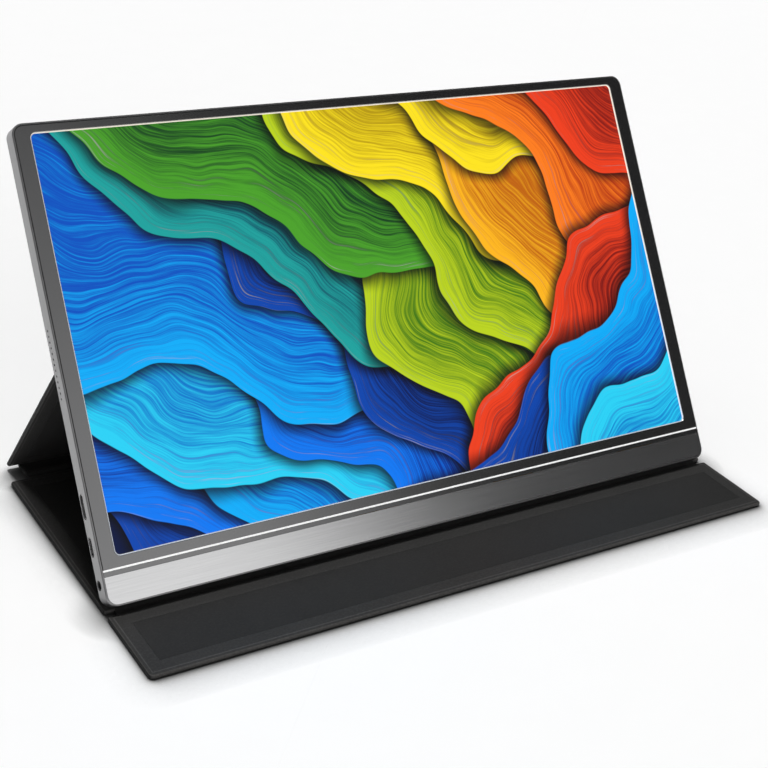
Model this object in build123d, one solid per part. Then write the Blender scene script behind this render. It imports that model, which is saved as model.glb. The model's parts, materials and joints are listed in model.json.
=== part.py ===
from build123d import *
import os
from math import acos, atan2, cos, degrees, hypot, radians, sin

# A portable 15.6 inch monitor standing on its folding folio case. All sizes are in millimetres.
# X runs along the screen, Y from the viewer to the back, Z up. The origin is on the table,
# in the middle of the ground that the open case covers.

# Visible picture area and the margins of the housing round it
view_w = 344.2
view_h = 193.6
view_corner_r = 2.4
side_margin = 8.7
top_margin = 5.0
bottom_margin = 22.2

# Housing
body_t = 9.0
corner_r = 5.5
inner_corner_r = 3.5
floor_t = 1.0
rim_wall = 0.8
ledge_w = 1.4
front_chamfer = 0.4
back_chamfer = 0.5

# Front pieces
front_recess = 0.1
bezel_t = 0.9
bezel_bevel = 0.6
front_fit = 0.2
chin_top = 13.8
trim_low = 16.1
trim_h = 0.9
trim_depth = 0.4
trim_fit = 0.02

# Display module, from the front to the back
cell_t = 1.0
sheets_t = 0.6
guide_t = 0.9
reflector_t = 0.2
tray_floor = 0.4
tray_wall = 0.8
tape_t = 0.3
cell_margin = 2.4
cell_foot = 3.9
tray_margin = 1.0
led_band = 3.4
stack_fit = 0.15
led_count = 36
led_w = 3.4
led_h = 0.6
led_deep = 1.2
led_film_t = 0.25

# Ribs and posts on the housing's floor
rib_w = 1.2
rib_count = 5
rib_pitch = 62.0
rib_low = 84.0
rib_top_gap = 6.0
rib_root = 0.5
chin_rest = 0.3
chin_rib_gap = 0.3
post_r = 1.9
post_inset = 4.0
post_left_inset = 12.0
post_low_inset = 16.0
driver_post_inset = 5.0
screw_r = 0.75
screw_fit = 0.05
screw_head_r = 1.4
screw_head_h = 0.5
screw_depth = 3.0
screw_end_gap = 0.3
screw_slot_w = 0.3
screw_slot_deep = 0.25
peg_sides = 12
blind_hole_deep = 0.4

# Main board and the sockets on it
board_t = 1.0
board_lift = 1.2
board_w = 104.0
board_low = 4.2
board_high = 70.0
board_edge_gap = 1.6
board_fit = 0.12
port_z = 2.9
port_recess = 0.3
port_wall = 0.3
port_fit = 0.15
hdmi_y = 46.2
hdmi_w = 11.2
hdmi_h = 3.2
hdmi_deep = 7.5
hdmi_bevel = 1.1
hdmi_tongue_w = 8.4
usb_y = 27.9
usb_w = 8.94
usb_h = 3.16
usb_deep = 7.3
usb_tongue_w = 6.7
tongue_t = 0.7
jack_y = 10.6
jack_z = 3.3
jack_bore_r = 1.8
jack_barrel_r = 2.25
jack_body_w = 5.6
jack_body_h = 4.4
jack_deep = 12.0
jack_end_wall = 1.8
jack_wall_gap = 0.15
socket_back_wall = 1.2
tongue_inset = 1.0

# Chips and coils on the main board: place as shares of its width and height from its left low
# corner, then width, height and thickness
chips = [
    (0.47, 0.55, 14.0, 14.0, 1.1),
    (0.70, 0.64, 9.0, 7.5, 0.9),
    (0.70, 0.43, 9.0, 7.5, 0.9),
    (0.30, 0.82, 6.0, 6.0, 1.3),
    (0.41, 0.85, 6.0, 6.0, 1.3),
    (0.26, 0.30, 5.0, 4.0, 0.8),
    (0.85, 0.85, 12.0, 4.5, 1.3),
    (0.85, 0.30, 8.0, 8.0, 0.9),
]

# Display driver board and its film connectors
driver_w = 210.0
driver_shift = 50.0
driver_h = 8.6
driver_low = 3.4
driver_t = 0.8
driver_lift = 4.2
flex_count = 3
flex_pitch = 84.0
flex_w = 26.0
flex_t = 0.2
flex_land = 2.4
flex_side_gap = 0.5
flex_gap = 0.05
flex_bend_in = 0.4
flex_land_in = 0.2
driver_chip_count = 4
driver_chip_w = 8.0
driver_chip_h = 4.0
driver_chip_t = 0.9
driver_chip_low = 1.2

# Speakers behind rows of small holes
speaker_y = 111.0
speaker_len = 36.0
speaker_w = 12.0
speaker_t = 3.1
speaker_gap = 0.2
speaker_corner = 1.5
cone_proud = 0.3
cone_len = 26.0
cone_w = 8.0
cone_shift = 0.8
sound_duct_deep = 2.5
sound_hole_r = 0.6
sound_hole_pitch = 2.6
sound_hole_count = 13
sound_hole_sides = 8
sound_hole_z = 3.4

# Buttons on the right edge
button_z = 3.0
button_h = 2.2
button_slot_gap = 0.1
button_proud = 0.5
button_travel = 0.4
button_bevel = 0.3
stem_w = 3.0
stem_h = 1.6
power_y = 78.0
power_len = 9.6
power_flange = 1.4
power_flange_t = 0.8
power_flange_gap = 0.1
rocker_y = 52.0
rocker_len = 21.4
rocker_slot_gap = 0.32
rocker_pivot_in = 3.6
rocker_pin_r = 0.6
rocker_hub_r = 1.1
rocker_pin_fit = 0.05
rocker_nub_y = 8.0
rocker_nub_w = 2.0
rocker_nub_h = 1.4
rocker_bar_back = 0.3
rocker_valley_r = 20.0
rocker_valley_deep = 0.25
rocker_ear_t = 0.6
rocker_ear_w = 5.0
rocker_ear_gap = 0.1
yoke_back = 2.6
yoke_t = 0.8
switch_board_in = 8.0
switch_board_t = 0.8
switch_board_h = 3.4
switch_board_over = 5.0
switch_t = 1.3
switch_w = 3.2
switch_h = 2.6
switch_clear = 0.1
switch_nose_t = 0.3
switch_nose_w = 1.4
switch_nose_h = 1.0
switch_flex_len = 44.0
switch_flex_w = 6.0
switch_flex_up = 2.0
join_in = 0.2
led_pipe_r = 0.6
led_pipe_fit = 0.05
led_pipe_y = 68.0
led_pipe_proud = 0.05

# Magnets
magnet_len = 20.0
magnet_w = 4.0
magnet_t = 1.3
magnet_fit = 0.1
housing_magnet_x = 93.0
housing_magnet_down = 14.4
flap_magnet_x = 60.0
flap_magnet_in = 11.0

# Folio case: panels of board under leathercloth, joined by soft folds
panel_t = 2.4
skin_t = 0.6
board_core_t = 1.3
edge_bevel = 0.9
hem_w = 8.5
lining_fit = 0.1
side_over = 1.6
strut_in = 1.8
case_shift = 1.8
back_drop = 1.0
fold_tip = 1.6
fold_web_t = 1.2
fold_inset = 5.0
outer_corner_r = 2.5
fold_corner_r = 1.6
glue_t = 0.3
glue_inset = 4.0
spine_pitch = 14.0
spine_inset = 9.5
spine_hem = 2.2
spine_corner_r = 1.5
flap_front = 43.2
flap_fold_y = 3.6

# Stance of the standing monitor
lean = 35.0
edge_gap = 0.34
edge_y = 7.4
fold_slack = 1.55

# How far a cut runs past the face it opens
cut_over = 1.0

# Sizes that follow from the ones above
body_w = view_w + 2 * side_margin
body_h = bottom_margin + view_h + top_margin
half_w = body_w / 2
inner_wall = rim_wall + ledge_w
bezel_back = body_t - front_recess - bezel_t
bezel_front = bezel_back + bezel_t
cell_back = bezel_back - cell_t
sheets_back = cell_back - sheets_t
guide_back = sheets_back - guide_t
reflector_back = guide_back - reflector_t
tray_back = reflector_back - tray_floor
rib_top = tray_back - tape_t
board_back = floor_t + board_lift
board_front = board_back + board_t
driver_back = floor_t + driver_lift
half_h = body_h / 2
case_w = body_w + 2 * side_over
strut_w = body_w - 2 * strut_in

# The screen turns on a fold behind the middle of its back, the strut on a fold at the table.
# The two legs of the stand are nearly equal, so the low edge glides just over the base.
fold_back = glue_t + panel_t / 2
leg_screen = hypot(half_h, fold_back)
leg_strut = leg_screen + fold_slack
edge_drop = back_chamfer * sin(radians(lean))
edge_z = panel_t + edge_gap - edge_drop
screen_leg_angle = lean + degrees(atan2(fold_back, half_h))
top_fold_y = edge_y + leg_screen * sin(radians(screen_leg_angle))
top_fold_z = edge_z + leg_screen * cos(radians(screen_leg_angle))
axis_z = panel_t / 2
strut_angle = degrees(acos((top_fold_z - axis_z) / leg_strut))
foot_fold_y = top_fold_y + leg_strut * sin(radians(strut_angle))
base_fold_y = foot_fold_y - spine_pitch
case_back = foot_fold_y + panel_t / 2
middle_y = (case_back - flap_front) / 2


def place(shape):
    """Moves a shape from the case's drawing frame to the part's frame."""
    return Pos(0, -middle_y, 0) * shape


def on_monitor(shape):
    """Stands up a shape drawn with the housing lying on its back, its low edge along X."""
    return place(Pos(-case_shift, edge_y, edge_z) * Rot(90 - lean, 0, 0) * shape)


def on_strut(shape):
    """Stands up a shape drawn flat from the foot fold at Y 0 to the top fold."""
    return place(Pos(0, foot_fold_y, axis_z) * Rot(90 + strut_angle, 0, 0) * shape)


def on_table(shape, y):
    """Sets a flat case shape down, its own Y 0 at the given Y."""
    return place(Pos(0, y, axis_z) * shape)


def block(x0, x1, y0, y1, z0, z1):
    """A plain box between two corners."""
    box = Box(x1 - x0, y1 - y0, z1 - z0)
    return Pos((x0 + x1) / 2, (y0 + y1) / 2, (z0 + z1) / 2) * box


def slab(width, y0, y1, radius, z0, z1):
    """A plate with four round corners, centred on X."""
    outline = Pos(0, (y0 + y1) / 2, z0) * RectangleRounded(width, y1 - y0, radius)
    return extrude(outline, z1 - z0)


def upright(x, y, z0, z1, radius):
    """A cylinder along Z."""
    rod = Cylinder(radius, z1 - z0, align=(Align.CENTER, Align.CENTER, Align.MIN))
    return Pos(x, y, z0) * rod


def peg(x, y, z0, z1, radius):
    """A small upright with flat sides, for screws, their posts and their holes."""
    return extrude(Pos(x, y, z0) * RegularPolygon(radius, peg_sides), z1 - z0)


def across(x0, x1, y, z, radius):
    """A cylinder along X."""
    rod = Cylinder(radius, x1 - x0, align=(Align.CENTER, Align.CENTER, Align.MIN))
    return Pos(x0, y, z) * Rot(0, 90, 0) * rod


def along_x(outline, x0, x1, y, z):
    """Pushes an outline along X: its width lies on Y and its height on Z."""
    plane = Plane(origin=(x0, y, z), x_dir=(0, 1, 0), z_dir=(1, 0, 0))
    return extrude(plane * outline, x1 - x0)


def mirrored(shape):
    """The same shape on the housing's other side."""
    return mirror(shape, about=Plane.YZ)


def group(shapes):
    """Several separate solids in one sub-part."""
    return Compound([solid for shape in shapes for solid in shape.solids()])


def screw(x, y, z_head, length):
    """A small screw whose head rests at the given height."""
    head = peg(x, y, z_head, z_head + screw_head_h, screw_head_r)
    shank = peg(x, y, z_head - length, z_head, screw_r)
    half = screw_slot_w / 2
    slot_low = z_head + screw_head_h - screw_slot_deep
    slot = block(x - screw_head_r, x + screw_head_r, y - half, y + half, slot_low, body_t + z_head)
    return head + shank - slot


# Places shared by several pieces of the monitor
tray_half_w = view_w / 2 + cell_margin + tray_margin
tray_low = bottom_margin - cell_foot - tray_margin
tray_high = bottom_margin + view_h + cell_margin
cell_low = tray_low + tray_margin
cell_high = tray_high - stack_fit
guide_low = tray_low + tray_wall + led_band
board_left = -half_w + inner_wall + board_edge_gap
board_right = board_left + board_w
board_posts = [
    (board_left + post_left_inset, board_high - post_inset),
    (board_right - post_inset, board_high - post_inset),
    (board_right - post_inset, board_low + post_low_inset),
]
driver_posts = [
    (driver_shift + side * (driver_w / 2 - driver_post_inset), driver_low + driver_h / 2)
    for side in (-1, 0, 1)
]
chin_rib_low = chin_top - chin_rest
rib_places = [(i - (rib_count - 1) / 2) * rib_pitch for i in range(rib_count)]
flex_places = [driver_shift + (i - (flex_count - 1) / 2) * flex_pitch for i in range(flex_count)]
sound_places = [
    speaker_y + (i - (sound_hole_count - 1) / 2) * sound_hole_pitch
    for i in range(sound_hole_count)
]
housing_magnets = [(side * housing_magnet_x, body_h - housing_magnet_down) for side in (-1, 1)]
wall_in = half_w - inner_wall
pivot_x = half_w - rocker_pivot_in
switch_face = half_w - switch_board_in + switch_board_t
nose_face = switch_face + switch_t + switch_nose_t
plunger_end = nose_face + button_travel + switch_clear
switch_places = [power_y, rocker_y - rocker_nub_y, rocker_y + rocker_nub_y]


def hdmi_outline(grow):
    """The mini socket's outline, with its two lower corners cut away."""
    half = hdmi_w / 2 + grow
    high = hdmi_h / 2 + grow
    points = [
        (-half, high),
        (half, high),
        (half, hdmi_bevel - high),
        (half - hdmi_bevel, -high),
        (hdmi_bevel - half, -high),
        (-half, hdmi_bevel - high),
    ]
    return make_face(Polyline(points, close=True))


def usb_outline(grow):
    """The small reversible socket's outline, with round ends."""
    return SlotOverall(usb_w + 2 * grow, usb_h + 2 * grow)


def rear_shell():
    """The aluminium tray that holds everything, with its sockets, holes, ribs and posts."""
    shell = slab(body_w, 0, body_h, corner_r, 0, body_t)
    shell = chamfer(shell.faces().sort_by(Axis.Z)[0].edges(), back_chamfer)
    shell = chamfer(shell.faces().sort_by(Axis.Z)[-1].edges(), front_chamfer)
    low = inner_wall
    shell -= slab(body_w - 2 * low, low, body_h - low, inner_corner_r, floor_t, body_t + cut_over)
    low = rim_wall
    shell -= slab(body_w - 2 * low, low, body_h - low, corner_r - low, bezel_back, body_t + cut_over)

    rib_high = body_h - inner_wall - rib_top_gap
    ribs = [
        block(x - rib_w / 2, x + rib_w / 2, rib_low, rib_high, rib_root, rib_top)
        for x in rib_places
    ]
    side = wall_in + rib_root
    rib_face = tray_low - chin_rib_gap
    chin_rib = block(-side, side, chin_rib_low, rib_face, rib_root, bezel_back)
    board_way = block(-half_w, board_right + board_edge_gap, 0, tray_low, 0, rib_top)
    chin_rib -= board_way
    for x in flex_places:
        half = flex_w / 2 + flex_side_gap
        chin_rib -= block(x - half, x + half, 0, tray_low, cell_back - flex_t, body_t)
    posts = [peg(x, y, rib_root, board_back, post_r) for x, y in board_posts]
    posts += [peg(x, y, rib_root, driver_back, post_r) for x, y in driver_posts]
    for piece in ribs + [chin_rib] + posts:
        shell += piece
    for x, y in board_posts:
        shell -= peg(x, y, floor_t - blind_hole_deep, body_t, screw_r + screw_fit)
    for x, y in driver_posts:
        shell -= peg(x, y, driver_back - screw_depth, body_t, screw_r + screw_fit)

    deep = inner_wall + 2 * rib_root
    left = -half_w - rib_root
    right = wall_in - rib_root
    holes = [
        along_x(hdmi_outline(port_fit), left, left + deep, hdmi_y, port_z),
        along_x(usb_outline(port_fit), left, left + deep, usb_y, port_z),
        along_x(usb_outline(port_fit), right, right + deep, usb_y, port_z),
        across(left, left + deep, jack_y, jack_z, jack_barrel_r + port_fit),
        across(right, right + deep, led_pipe_y, button_z, led_pipe_r + led_pipe_fit),
    ]
    gap = 2 * button_slot_gap
    power_slot = SlotOverall(power_len + gap, button_h + gap)
    rocker_slot = SlotOverall(rocker_len + 2 * rocker_slot_gap, button_h + gap)
    holes.append(along_x(power_slot, right, right + deep, power_y, button_z))
    holes.append(along_x(rocker_slot, right, right + deep, rocker_y, button_z))
    sound_hole = RegularPolygon(sound_hole_r, sound_hole_sides)
    for y in sound_places:
        holes.append(along_x(sound_hole, left, left + deep, y, sound_hole_z))
        holes.append(along_x(sound_hole, right, right + deep, y, sound_hole_z))
    for hole in holes:
        shell -= hole
    return shell


def front_bezel():
    """The dark frame round the picture, with a groove for the bright trim line."""
    out_w = body_w - 2 * (rim_wall + front_fit)
    out_high = body_h - rim_wall - front_fit
    plate = slab(out_w, 0, out_high, corner_r - rim_wall - front_fit, bezel_back, bezel_front)
    plate -= block(-out_w, out_w, -cut_over, chin_top + front_fit, 0, body_t + cut_over)
    window = slab(view_w, bottom_margin, bottom_margin + view_h, view_corner_r, 0, body_t + cut_over)
    plate -= window
    plate = chamfer(plate.faces().sort_by(Axis.Z)[-1].inner_wires()[0].edges(), bezel_bevel)
    groove_z = bezel_front - trim_depth
    plate -= block(-out_w, out_w, trim_low, trim_low + trim_h, groove_z, body_t + cut_over)
    return plate


def trim_bar():
    """The bright line between the bezel and the chin."""
    half = half_w - rim_wall - front_fit
    z0 = bezel_front - trim_depth
    low = trim_low + trim_fit
    high = trim_low + trim_h - trim_fit
    bar = block(-half, half, low, high, z0, body_t)
    return bar


def chin_panel():
    """The brushed plate under the picture."""
    out_w = body_w - 2 * (rim_wall + front_fit)
    low = rim_wall + front_fit
    plate = slab(out_w, low, half_h, corner_r - low, bezel_back, bezel_front)
    plate -= block(-out_w, out_w, chin_top, body_h, 0, body_t)
    return plate


def lcd_cell():
    """The glass of the display."""
    half = view_w / 2 + cell_margin
    return block(-half, half, cell_low, cell_high, cell_back, bezel_back)


def optical_sheets():
    """Diffuser and prism films."""
    half = tray_half_w - tray_wall - stack_fit
    low = tray_low + tray_wall + stack_fit
    high = tray_high - tray_wall - stack_fit
    return block(-half, half, low, high, sheets_back, cell_back)


def light_guide():
    """The clear plate that spreads the light of the low edge."""
    half = tray_half_w - tray_wall - stack_fit
    high = tray_high - tray_wall - stack_fit
    return block(-half, half, guide_low, high, guide_back, sheets_back)


def reflector_sheet():
    """The white film behind the light guide."""
    half = tray_half_w - tray_wall - stack_fit
    low = tray_low + tray_wall + stack_fit
    high = tray_high - tray_wall - stack_fit
    return block(-half, half, low, high, reflector_back, guide_back)


def led_strip():
    """A thin strip with a row of light emitters that face the light guide."""
    low = tray_low + tray_wall + stack_fit
    half = tray_half_w - tray_wall - 2 * stack_fit
    high = guide_low - stack_fit
    strip = block(-half, half, low, high, guide_back, guide_back + led_film_t)
    pitch = 2 * half / led_count
    top = guide_back + led_h
    for i in range(led_count):
        x = -half + (i + 0.5) * pitch
        strip += block(x - led_w / 2, x + led_w / 2, high - led_deep, high, guide_back, top)
    return strip


def backlight_tray():
    """The thin tray that holds the display's layers."""
    tray = block(-tray_half_w, tray_half_w, tray_low, tray_high, tray_back, cell_back)
    half = tray_half_w - tray_wall
    low = tray_low + tray_wall
    tray -= block(-half, half, low, tray_high - tray_wall, reflector_back, body_t)
    return tray


def panel_tapes():
    """Foam tapes that stick the display to the housing's ribs."""
    high = body_h - inner_wall - rib_top_gap
    return group(
        [
            block(x - rib_w / 2, x + rib_w / 2, rib_low, high, rib_top, tray_back)
            for x in rib_places
        ]
    )


def display_films():
    """Film connectors from the glass to the driver board, bent down over its edge."""
    top = driver_back + driver_t
    z = cell_back + flex_gap
    land = driver_low + driver_h
    line = [
        (cell_low, z),
        (chin_rib_low - flex_bend_in, z),
        (land - flex_land_in, top),
        (land - flex_land, top),
    ]
    upper = [(y, height + flex_t) for y, height in reversed(line)]
    side = make_face(Polyline(line + upper, close=True))
    return group([along_x(side, x - flex_w / 2, x + flex_w / 2, 0, 0) for x in flex_places])


def driver_board():
    """The long narrow board behind the chin that drives the display."""
    x0 = driver_shift - driver_w / 2
    top = driver_back + driver_t
    board = block(x0, x0 + driver_w, driver_low, driver_low + driver_h, driver_back, top)
    for x, y in driver_posts:
        board -= peg(x, y, 0, body_t, screw_r + screw_fit)
    half = driver_chip_w / 2
    low = driver_low + driver_chip_low
    high = low + driver_chip_h
    for i in range(driver_chip_count):
        x = x0 + driver_w * (i + 0.5) / driver_chip_count
        board += block(x - half, x + half, low, high, driver_back, top + driver_chip_t)
    return board


def main_board():
    """The board that turns the picture signal into what the display needs."""
    board = block(board_left, board_right, board_low, board_high, board_back, board_front)
    for x, y in board_posts:
        board -= peg(x, y, 0, body_t, screw_r + screw_fit)
    reach = -half_w + port_recess
    for y, width, deep in (
        (hdmi_y, hdmi_w, hdmi_deep),
        (usb_y, usb_w, usb_deep),
        (jack_y, jack_body_w, jack_deep + jack_end_wall),
    ):
        half = width / 2 + board_fit
        board -= block(-half_w, reach + deep + board_fit, y - half, y + half, 0, body_t)
    return board


def board_chips():
    """The main chips and coils on the main board."""
    blocks = []
    for right_share, up_share, w, h, t in chips:
        x = board_left + right_share * board_w
        y = board_low + up_share * (board_high - board_low)
        chip = block(x - w / 2, x + w / 2, y - h / 2, y + h / 2, board_front, board_front + t)
        blocks.append(chip)
    return group(blocks)


def board_screws():
    """Screws of the main board."""
    return group([screw(x, y, board_front, board_t + board_lift) for x, y in board_posts])


def driver_screws():
    """Screws of the driver board."""
    top = driver_back + driver_t
    length = driver_t + screw_depth - screw_end_gap
    return group([screw(x, y, top, length) for x, y in driver_posts])


def socket(outline, deep, tongue_w, y):
    """A metal socket on the left edge: a hollow shell with a contact tongue inside."""
    x0 = -half_w + port_recess
    shell = along_x(outline(0), x0, x0 + deep, y, port_z)
    back = x0 + deep - socket_back_wall
    shell -= along_x(outline(-port_wall), x0 - cut_over, back, y, port_z)
    tongue = along_x(Rectangle(tongue_w, tongue_t), x0 + tongue_inset, x0 + deep, y, port_z)
    return shell + tongue


def headphone_jack():
    """The round socket: a barrel through the wall on a square body."""
    x0 = -half_w + port_recess
    body_x = -wall_in + jack_wall_gap
    half = jack_body_w / 2
    end = x0 + jack_deep + jack_end_wall
    low = jack_z - jack_body_h / 2
    jack = block(body_x, end, jack_y - half, jack_y + half, low, low + jack_body_h)
    jack += across(x0, body_x + join_in, jack_y, jack_z, jack_barrel_r)
    jack -= across(x0 - cut_over, x0 + jack_deep, jack_y, jack_z, jack_bore_r)
    return jack


def speaker():
    """A flat box speaker against the left wall, open towards its row of holes."""
    x0 = -wall_in + speaker_gap
    y0 = speaker_y - speaker_len / 2
    box = block(x0, x0 + speaker_w, y0, y0 + speaker_len, floor_t, floor_t + speaker_t)
    box = chamfer(box.edges().filter_by(Axis.Z), speaker_corner)
    row = SlotOverall(sound_hole_pitch * (sound_hole_count - 1) + 2 * sound_hole_r, 2 * sound_hole_r)
    box -= along_x(row, x0 - speaker_gap, x0 + sound_duct_deep, speaker_y, sound_hole_z)
    middle = Pos(x0 + speaker_w / 2 + cone_shift, speaker_y, floor_t + speaker_t)
    cone = extrude(middle * Rot(0, 0, 90) * SlotOverall(cone_len, cone_w), cone_proud)
    return box + cone


def power_button():
    """The sliding cap, its flange behind the wall and its stem to the switch."""
    outer = half_w + button_proud
    flange_x = wall_in - power_flange_gap - power_flange_t
    cap = along_x(SlotOverall(power_len, button_h), flange_x, outer, power_y, button_z)
    cap = chamfer(cap.faces().sort_by(Axis.X)[-1].edges(), button_bevel)
    wide = SlotOverall(power_len + 2 * power_flange, button_h + power_flange)
    flange = along_x(wide, flange_x, flange_x + power_flange_t, power_y, button_z)
    stem_end = flange_x + join_in
    stem = along_x(Rectangle(stem_w, stem_h), plunger_end, stem_end, power_y, button_z)
    return cap + flange + stem


def menu_rocker():
    """The rocking bar on its pin, with a nub behind each end for its two switches."""
    outer = half_w + button_proud
    back = pivot_x - rocker_bar_back
    bar = along_x(SlotOverall(rocker_len, button_h), back, outer, rocker_y, button_z)
    bar = chamfer(bar.faces().sort_by(Axis.X)[-1].edges(), button_bevel)
    valley_r = rocker_valley_r + rocker_valley_deep
    bar -= upright(outer + rocker_valley_r, rocker_y, 0, body_t, valley_r)
    low = button_z - button_h / 2
    bar += upright(pivot_x, rocker_y, low, low + button_h, rocker_hub_r)
    pin_low = low - rocker_ear_t
    pin_high = low + button_h + rocker_ear_t
    bar += upright(pivot_x, rocker_y, pin_low, pin_high, rocker_pin_r)
    for side in (-1, 1):
        y = rocker_y + side * rocker_nub_y
        nub = Rectangle(rocker_nub_w, rocker_nub_h)
        bar += along_x(nub, plunger_end, back + join_in, y, button_z)
    return bar


def rocker_bracket():
    """A small yoke on the housing's floor that holds the rocker's pin at both ends."""
    low = button_z - button_h / 2 - rocker_ear_gap
    high = button_z + button_h / 2 + rocker_ear_gap
    half = rocker_ear_w / 2
    x0 = pivot_x - yoke_back
    x1 = pivot_x + rocker_hub_r
    yoke = block(x0, x1, rocker_y - half, rocker_y + half, floor_t, high + rocker_ear_t)
    yoke -= block(x0 + yoke_t, half_w, rocker_y - half, rocker_y + half, low, high)
    return yoke - upright(pivot_x, rocker_y, 0, body_t, rocker_pin_r + rocker_pin_fit)


def switch_board():
    """The narrow upright board that carries the switches and the status lamp."""
    x1 = switch_face
    low = rocker_y - rocker_nub_y - switch_board_over
    high = power_y + switch_board_over
    return block(x1 - switch_board_t, x1, low, high, floor_t, floor_t + switch_board_h)


def tact_switches():
    """One small switch behind the power button and one behind each end of the rocker."""
    pieces = []
    for y in switch_places:
        front = switch_face + switch_t
        body = along_x(Rectangle(switch_w, switch_h), switch_face, front, y, button_z)
        nose = along_x(Rectangle(switch_nose_w, switch_nose_h), front, nose_face, y, button_z)
        pieces.append(body + nose)
    return group(pieces)


def status_light():
    """A clear rod that carries the status lamp's light to the edge."""
    return across(switch_face, half_w + led_pipe_proud, led_pipe_y, button_z, led_pipe_r)


def switch_flex():
    """A flat film from the switch board along the floor."""
    x1 = switch_face - switch_board_t
    low = rocker_y + switch_flex_up
    high = low + switch_flex_w
    return block(x1 - switch_flex_len, x1, low, high, floor_t, floor_t + flex_t)


def housing_magnet_bars():
    """Bar magnets on the housing's floor that hold the closed flap."""
    bars = []
    for x, y in housing_magnets:
        half = magnet_len / 2
        low = y - magnet_w / 2
        bars.append(block(x - half, x + half, low, low + magnet_w, floor_t, floor_t + magnet_t))
    return group(bars)


def panel_blank(width, depth, low_r, high_r):
    """A case panel's outer form: flat faces, bevelled edges, and round corners."""
    blank = block(-width / 2, width / 2, 0, depth, -panel_t / 2, panel_t / 2)
    uprights = blank.edges().filter_by(Axis.Z).sort_by(Axis.Y)
    blank = fillet(uprights[:2], low_r)
    uprights = blank.edges().filter_by(Axis.Z).sort_by(Axis.Y)
    blank = fillet(uprights[-2:], high_r)
    faces = blank.faces().sort_by(Axis.Z)
    return chamfer(faces[0].edges() + faces[-1].edges(), edge_bevel)


def case_panel(width, depth, low_r, high_r, hem):
    """One stiff panel: leathercloth turned over the edge, a board core and a lining."""
    cover = panel_blank(width, depth, low_r, high_r)
    top = panel_t / 2
    bed = width / 2 - hem
    core_low = skin_t - top
    core_high = core_low + board_core_t
    cover -= block(-bed, bed, hem, depth - hem, core_low, panel_t)
    half = bed - lining_fit
    trim = hem + lining_fit
    core = block(-half, half, trim, depth - trim, core_low, core_high)
    lining = block(-half, half, trim, depth - trim, core_high, top)
    return cover, core, lining


def fold_strip(width, side):
    """A soft fold: a roll on the fold's axis with a web to the panel on its own side."""
    roll = across(-width / 2, width / 2, 0, 0, panel_t / 2)
    half = fold_web_t / 2
    y0 = min(0, side * fold_tip)
    return roll + block(-width / 2, width / 2, y0, y0 + fold_tip, -half, half)


def bar_magnets(y, z0):
    """A row of bar magnets across a panel."""
    half = magnet_len / 2
    low = y - magnet_w / 2
    return [
        block(x - half, x + half, low, low + magnet_w, z0, z0 + board_core_t)
        for x in (-flap_magnet_x, flap_magnet_x)
    ]


nodes = {}

# The monitor
for make in (
    rear_shell,
    front_bezel,
    trim_bar,
    chin_panel,
    lcd_cell,
    optical_sheets,
    light_guide,
    reflector_sheet,
    led_strip,
    backlight_tray,
    panel_tapes,
    display_films,
    driver_board,
    main_board,
    board_chips,
    board_screws,
    driver_screws,
    headphone_jack,
    power_button,
    menu_rocker,
    rocker_bracket,
    switch_board,
    tact_switches,
    status_light,
    switch_flex,
    housing_magnet_bars,
):
    nodes[make.__name__] = on_monitor(make())
usb_socket = socket(usb_outline, usb_deep, usb_tongue_w, usb_y)
nodes["mini_hdmi_socket"] = on_monitor(socket(hdmi_outline, hdmi_deep, hdmi_tongue_w, hdmi_y))
nodes["left_usb_socket"] = on_monitor(usb_socket)
nodes["right_usb_socket"] = on_monitor(mirrored(usb_socket))
nodes["left_speaker"] = on_monitor(speaker())
nodes["right_speaker"] = on_monitor(mirrored(speaker()))

# The case panel that is glued to the upper half of the monitor's back
back_low = half_h + fold_tip
back_depth = body_h - back_drop - back_low
back_pieces = case_panel(strut_w, back_depth, fold_corner_r, outer_corner_r, hem_w)
for name, piece in zip(("back_cover", "back_core", "back_lining"), back_pieces):
    nodes[name] = on_monitor(Pos(case_shift, back_low, -fold_back) * piece)
glue_half = half_w - glue_inset
glue = block(-glue_half, glue_half, back_low + glue_inset, body_h - glue_inset, -glue_t, 0)
nodes["back_adhesive"] = on_monitor(glue)

# The strut panel, with the roll of the top fold on its upper edge
strut_depth = leg_strut - 2 * fold_tip
strut_pieces = case_panel(strut_w, strut_depth, fold_corner_r, fold_corner_r, hem_w)
for name, piece in zip(("strut_cover", "strut_core", "strut_lining"), strut_pieces):
    nodes[name] = on_strut(Pos(0, fold_tip, 0) * piece)
top_fold_w = strut_w - 2 * fold_inset
nodes["top_fold"] = on_strut(Pos(0, leg_strut, 0) * fold_strip(top_fold_w, -1))

# The spine strip on the table, shorter than the panels, with the roll of the foot fold
spine_w = case_w - 2 * spine_inset
spine_depth = spine_pitch - 2 * fold_tip
spine_pieces = case_panel(spine_w, spine_depth, spine_corner_r, spine_corner_r, spine_hem)
for name, piece in zip(("spine_cover", "spine_core", "spine_lining"), spine_pieces):
    nodes[name] = on_table(piece, base_fold_y + fold_tip)
nodes["foot_fold"] = on_table(fold_strip(spine_w, -1), foot_fold_y)
nodes["base_fold"] = on_table(fold_strip(spine_w, 1), base_fold_y)

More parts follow.
